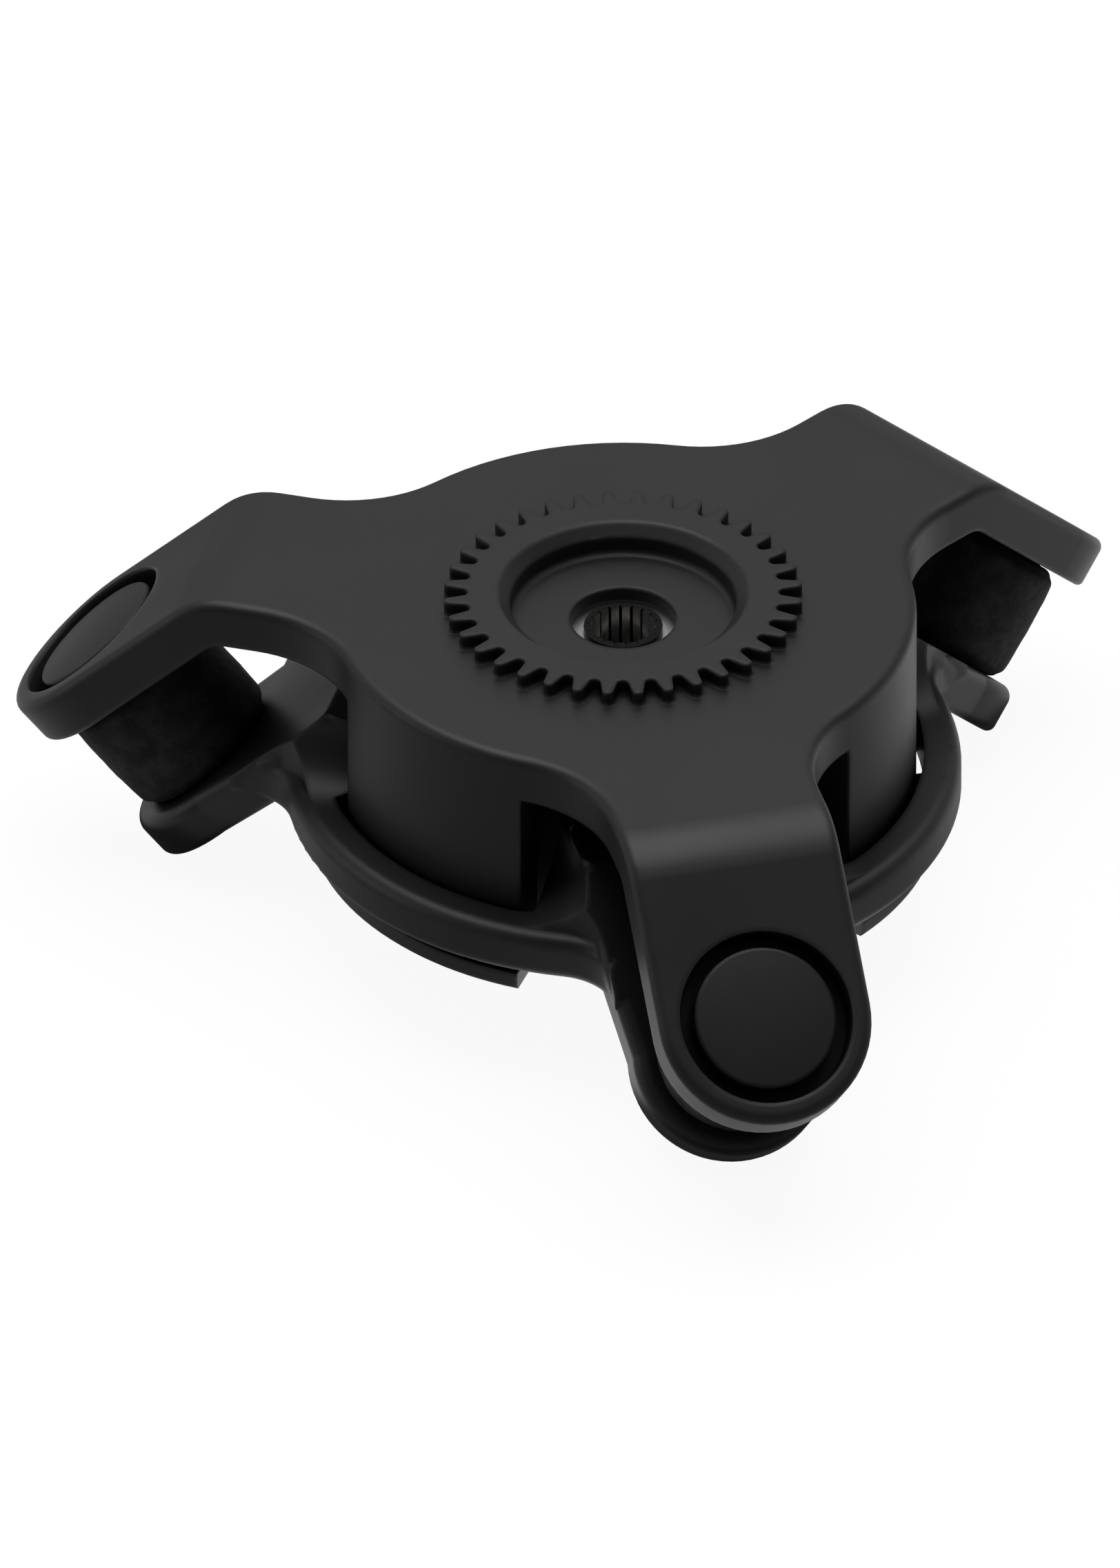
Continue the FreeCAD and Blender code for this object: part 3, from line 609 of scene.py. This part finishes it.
def hub_screw_rows():
    """Rows of the screw from tip to socket: height, and radius at an angle.  The lengths and
    diameters are those of the CAD screw, whose undercut below the head is the waist."""
    points = np.array([v.co for v in frame["nodes"]["hub_screw"].data.vertices])
    radii = np.linalg.norm(points[:, :2], axis=1)
    heights = points[:, 2]
    low, top = heights.min(), heights.max()
    major = radii[heights < 0].max()
    head_r = radii.max()
    seat = heights[radii > (major + head_r) / 2].min()
    shank = radii[(heights > low + TIP_CHAMFER * 2) & (heights < seat - EDGE_BREAK)]
    waist_r = shank.min()
    waist = heights[(abs(radii - waist_r) < EDGE_BREAK / 4) & (heights < seat - EDGE_BREAK)]
    waist_low, waist_high = waist.min(), waist.max()

    def thread(height, angle):
        turn = (height / THREAD_PITCH - angle / (2 * math.pi)) % 1.0
        groove = min(1.0, max(0.0, abs(turn - 0.5) * THREAD_FLANK - THREAD_CREST))
        room = major - TIP_CHAMFER + height - low
        return min(major - THREAD_DEPTH * groove, max(room, major - TIP_CHAMFER))

    def level(radius):
        return lambda angle: radius

    rows = []
    count = round((waist_low - low) / THREAD_PITCH * THREAD_STEPS)
    for i in range(count + 1):
        height = low + (waist_low - low) * i / count
        rows.append((height, lambda angle, height=height: thread(height, angle)))
    rows.append((waist_low, level(waist_r)))
    rows.append((waist_high, level(waist_r)))
    rows.append((waist_high, level(major - EDGE_BREAK)))
    rows.append((waist_high + EDGE_BREAK, level(major)))
    rows.append((seat, level(major)))
    rows.append((seat, level(head_r - EDGE_BREAK)))
    rows.append((seat + EDGE_BREAK, level(head_r)))
    for i in range(HEAD_STEPS + 1):
        turn = math.pi / 2 * i / HEAD_STEPS
        radius = head_r - HEAD_ROUND * (1 - math.cos(turn))
        rows.append((top - HEAD_ROUND * (1 - math.sin(turn)), level(radius)))
    rows.append((top, lambda angle: hexagon(angle) + EDGE_BREAK))
    rows.append((top - EDGE_BREAK, hexagon))
    rows.append((top - HEX_DEPTH, hexagon))
    return rows


def make_hub_screw():
    """Captive screw with a real thread and hexagon socket, in place of the plain CAD one."""
    mesh = bmesh.new()
    rings = []
    for height, radius in hub_screw_rows():
        ring = []
        for k in range(SEGMENTS):
            angle = 2 * math.pi * k / SEGMENTS
            r = radius(angle)
            ring.append(mesh.verts.new((r * math.cos(angle), r * math.sin(angle), height)))
        rings.append(ring)
    join_rings(mesh, rings)
    mesh.faces.new(reversed(rings[0]))
    mesh.faces.new(rings[-1])
    piece = finished_piece("threaded_hub_screw", mesh)
    piece.data.set_sharp_from_angle(angle=math.radians(SHARP_ANGLE))
    piece.data.materials.append(LOOKS["black_steel"])
    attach(piece, "hub_screw")
    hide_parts("hub_screw")


# ---- stage, light, camera ------------------------------------------------------------------
def camera_reading(nodes, channel):
    """One transform channel of the camera, kept up to date by a driver."""
    reading = nodes.add("ShaderNodeValue").outputs[0]
    driver = reading.driver_add("default_value").driver
    driver.type = "SUM"
    variable = driver.variables.new()
    variable.type = "TRANSFORMS"
    variable.targets[0].id = bpy.context.scene.camera
    variable.targets[0].transform_type = channel
    variable.targets[0].transform_space = "WORLD_SPACE"
    return reading


def turned_with_camera(nodes, vector):
    """The studio's lights go round with the camera: vector as it would be for the main camera."""
    turn = nodes.add("ShaderNodeVectorRotate", rotation_type="Z_AXIS")
    nodes.link(vector, turn.inputs["Vector"])
    heading = camera_reading(nodes, "ROT_Z")
    nodes.set(turn.inputs["Angle"], nodes.math("SUBTRACT", math.radians(VIEW_AZIMUTH), heading))
    return turn.outputs["Vector"]


def floor_in_object(nodes, path, level):
    """Brightness of the floor, at height level, as the object's surfaces see it."""
    place = turned_with_camera(nodes, nodes.geometry("Position"))
    x, y, _ = nodes.split(place)
    along = nodes.math("ADD", nodes.math("MULTIPLY", x, FLOOR_TURN[0]),
                       nodes.math("MULTIPLY", y, FLOOR_TURN[1]))
    brightness = nodes.span(along, FLOOR_FROM, FLOOR_TO, FLOOR_NEAR, FLOOR_FAR)
    fade = nodes.span(y, FADE_FROM, FADE_TO, 1.0, FADE_LEVEL)
    brightness = nodes.math("MULTIPLY", brightness, fade)
    lit = nodes.span(nodes.vector("DISTANCE", place, (*LIT_CENTRE, level)), *LIT_RADII, 1.0, 0.0)
    brightness = nodes.blend(lit, brightness, FLOOR_LIT)
    touch = nodes.span(path.outputs["Ray Length"], TOUCH_FROM, TOUCH_TO, TOUCH_LEVEL, 1.0)
    brightness = nodes.math("MULTIPLY", brightness, touch)
    from_below = nodes.span(camera_reading(nodes, "LOC_Z"), level, level - FLOOR_CROSSING)
    return nodes.blend(from_below, brightness, FLOOR_FROM_BELOW)


def pale_floor(level):
    """Glowing floor with a faint real shadow for the camera, and clear from below."""
    material = bpy.data.materials.new("pale_floor")
    material.use_nodes = True
    nodes = Nodes(material.node_tree)
    out = nodes.add("ShaderNodeOutputMaterial")
    matt = nodes.add("ShaderNodeBsdfDiffuse")
    nodes.set(matt.inputs["Color"], grey(FLOOR_COLOUR))
    path = nodes.add("ShaderNodeLightPath")
    seen = path.outputs["Is Camera Ray"]
    glow = nodes.add("ShaderNodeEmission")
    strength = nodes.blend(seen, floor_in_object(nodes, path, level), FLOOR_SHOWN)
    nodes.link(strength, glow.inputs["Strength"])
    glowing = nodes.blend(seen, 1.0, 1 - FLOOR_SHADOW_SHARE)
    upper_side = nodes.shader_mix(glowing, matt.outputs[0], glow.outputs[0])
    clear = nodes.add("ShaderNodeBsdfTransparent")
    surface = nodes.shader_mix(nodes.geometry("Backfacing"), upper_side, clear.outputs[0])
    nodes.link(surface, out.inputs["Surface"])
    return material


def make_floor():
    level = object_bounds()[0][2]
    reach = FLOOR_REACH
    corners = [(-reach, -reach), (reach, -reach), (reach, reach), (-reach, reach)]
    data = bpy.data.meshes.new("floor")
    data.from_pydata([(x, y, level) for x, y in corners], [], [(0, 1, 2, 3)])
    data.materials.append(pale_floor(level))
    floor = bpy.data.objects.new("floor", data)
    bpy.context.scene.collection.objects.link(floor)


def make_world():
    """Surroundings: plain sky, soft box overhead and strip on the left."""
    world = bpy.data.worlds.new("studio")
    bpy.context.scene.world = world
    world.use_nodes = True
    nodes = Nodes(world.node_tree)
    out = nodes.add("ShaderNodeOutputWorld")
    background = nodes.add("ShaderNodeBackground")
    nodes.set(background.inputs["Color"], grey(1.0))
    direction = turned_with_camera(nodes, nodes.add("ShaderNodeTexCoord").outputs["Generated"])
    behind = nodes.span(nodes.split(direction)[1], *SKY_TURN)
    level = nodes.blend(behind, SKY_FRONT, SKY_BACK)
    lamps = ((SOFT_BOX_FROM, SOFT_BOX_EDGE, SKY_TOP), (STRIP_FROM, STRIP_EDGE, SKY_LEFT))
    for lamp_from, edge, strength in lamps:
        towards = nodes.vector("DOT_PRODUCT", direction, Vector(lamp_from).normalized())
        level = nodes.blend(nodes.span(towards, *edge), level, strength)
    seen = nodes.add("ShaderNodeLightPath").outputs["Is Camera Ray"]
    nodes.link(nodes.blend(seen, level, FLOOR_SHOWN), background.inputs["Strength"])
    nodes.link(background.outputs[0], out.inputs["Surface"])


def make_camera():
    """Long lens from the left of the front arm, above the plate."""
    a = math.radians(VIEW_AZIMUTH)
    e = math.radians(VIEW_ELEVATION)
    roll = math.radians(VIEW_ROLL)
    back = Vector((math.sin(a) * math.cos(e), -math.cos(a) * math.cos(e), math.sin(e)))
    level = Vector((math.cos(a), math.sin(a), 0))
    upright = back.cross(level)
    right = level * math.cos(roll) + upright * math.sin(roll)
    up = back.cross(right)
    spline_centre = Vector((0, 0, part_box("upper_chassis")[1].z))
    centre = spline_centre - right * VIEW_LEFT - up * VIEW_BELOW
    data = bpy.data.cameras.new("camera")
    data.sensor_width = SENSOR
    data.lens = SENSOR * VIEW_DISTANCE / VIEW_HEIGHT
    data.clip_end = CLIP_END
    camera = bpy.data.objects.new("camera", data)
    turn = Matrix((right, up, back)).transposed()
    camera.matrix_world = Matrix.Translation(centre + back * VIEW_DISTANCE) @ turn.to_4x4()
    bpy.context.scene.collection.objects.link(camera)
    bpy.context.scene.camera = camera


paint_cad_nodes()
for arm_name in ARMS:
    make_grommet(arm_name)
    make_buffer(arm_name)
make_hub_screw()
make_camera()
make_floor()
make_world()
bpy.context.scene.view_settings.view_transform = "Standard"
